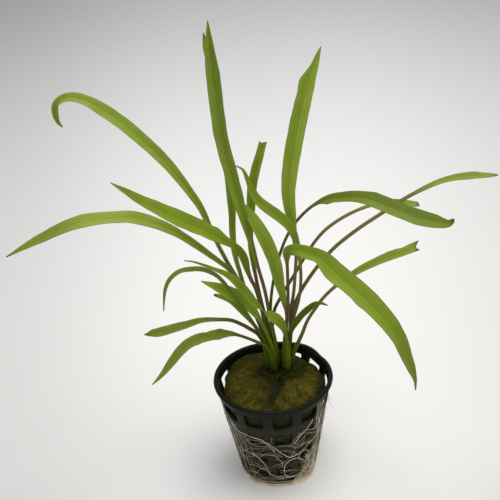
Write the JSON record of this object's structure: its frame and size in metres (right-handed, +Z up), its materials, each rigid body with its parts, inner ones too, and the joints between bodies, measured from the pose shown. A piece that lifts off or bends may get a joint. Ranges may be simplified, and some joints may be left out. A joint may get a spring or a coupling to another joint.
{
  "type": "potted cryptocoryne",
  "caption": "Narrow-leaved aquarium plant: arching leaves from one crown in a mineral wool plug, standing in a black net pot wrapped with roots.",
  "frame": {"origin": "centre of the pot's underside", "axes": "+Z up, the viewer of the front on the -Y side, +X to the viewer's right"},
  "size_m": [0.2124, 0.0725, 0.2182],
  "materials": {
    "black_plastic": "moulded, satin, slightly scuffed",
    "mineral_wool": "wet, fibrous, olive brown",
    "rhizome": "fleshy, dull",
    "leaf_green": "thin leaf, satin, yellow-green blade and olive-brown petiole",
    "root_cream": "thin fleshy roots, satin"
  },
  "bodies": {
    "root": {"net_pot": "black_plastic", "wool_plug": "mineral_wool", "crown": "rhizome", "leaf_tall_front": "leaf_green", "leaf_tall_behind": "leaf_green", "leaf_tall_right": "leaf_green", "leaf_cut_upright": "leaf_green", "leaf_broad_centre": "leaf_green", "leaf_arched_left": "leaf_green", "leaf_folded_right": "leaf_green", "leaf_long_right": "leaf_green", "leaf_edge_right": "leaf_green", "leaf_torn_right": "leaf_green", "leaf_cut_right": "leaf_green", "leaf_short_right": "leaf_green", "leaf_curled_left": "leaf_green", "leaf_edge_left": "leaf_green", "leaf_kinked_left": "leaf_green", "leaf_hooked_left": "leaf_green", "leaf_crossing_left": "leaf_green", "leaf_bright_left": "leaf_green", "leaf_stub_left": "leaf_green", "leaf_low_left": "leaf_green", "leaf_lowest_left": "leaf_green", "root_long_loop": "root_cream", "root_short_right": "root_cream", "root_ring_right": "root_cream", "root_slanting": "root_cream", "root_left_edge": "root_cream", "root_right_edge": "root_cream", "root_base_coil": "root_cream"}
  },
  "joints": []
}
